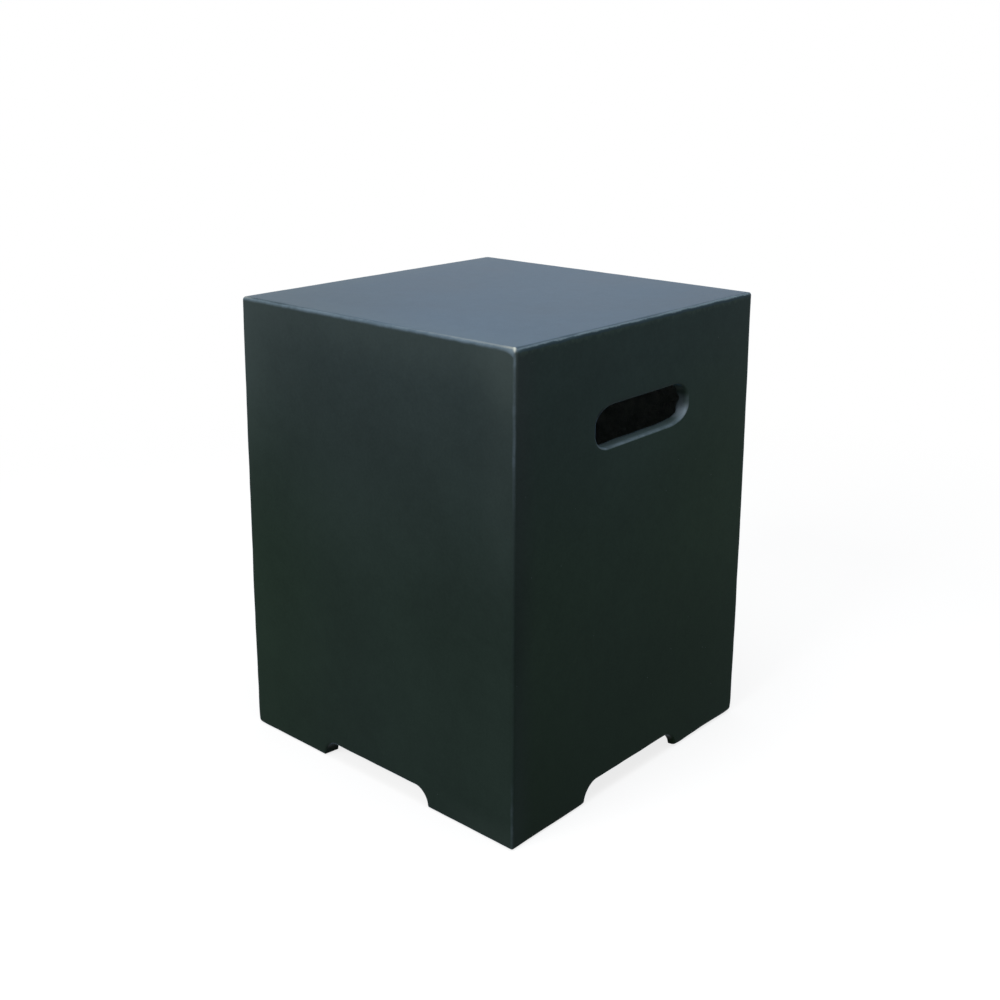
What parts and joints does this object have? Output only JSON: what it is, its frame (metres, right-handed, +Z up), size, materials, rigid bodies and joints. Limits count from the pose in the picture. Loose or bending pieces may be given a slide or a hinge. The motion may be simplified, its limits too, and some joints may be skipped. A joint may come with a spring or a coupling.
{
  "type": "propane tank cover table",
  "caption": "Square, open-bottomed concrete cover that stands over a gas cylinder and serves as a side table, with handle slots and notches between its feet.",
  "frame": {"origin": "centre of the square base on the floor, under the foot pads", "axes": "+Z up; the handle slots are in the +X and -X walls; the plain walls face +Y and -Y"},
  "size_m": [0.41, 0.41, 0.519],
  "materials": {
    "face_coat": "smooth satin dark slate-grey cast concrete",
    "backing": "rough trowelled fibre-filled concrete",
    "glass_mesh": "alkali-resistant glass-fibre mesh",
    "pad_rubber": "matt black rubber"
  },
  "bodies": {
    "root": {"backing_shell": "backing", "corner_strip_back_left": "glass_mesh", "corner_strip_back_right": "glass_mesh", "corner_strip_front_left": "glass_mesh", "corner_strip_front_right": "glass_mesh", "face_coat": "face_coat", "foot_pad_back_left": "pad_rubber", "foot_pad_back_right": "pad_rubber", "foot_pad_front_left": "pad_rubber", "foot_pad_front_right": "pad_rubber", "mesh_back": "glass_mesh", "mesh_front": "glass_mesh", "mesh_left": "glass_mesh", "mesh_right": "glass_mesh", "mesh_top": "glass_mesh", "top_strip_back": "glass_mesh", "top_strip_front": "glass_mesh", "top_strip_left": "glass_mesh", "top_strip_right": "glass_mesh"}
  },
  "joints": []
}
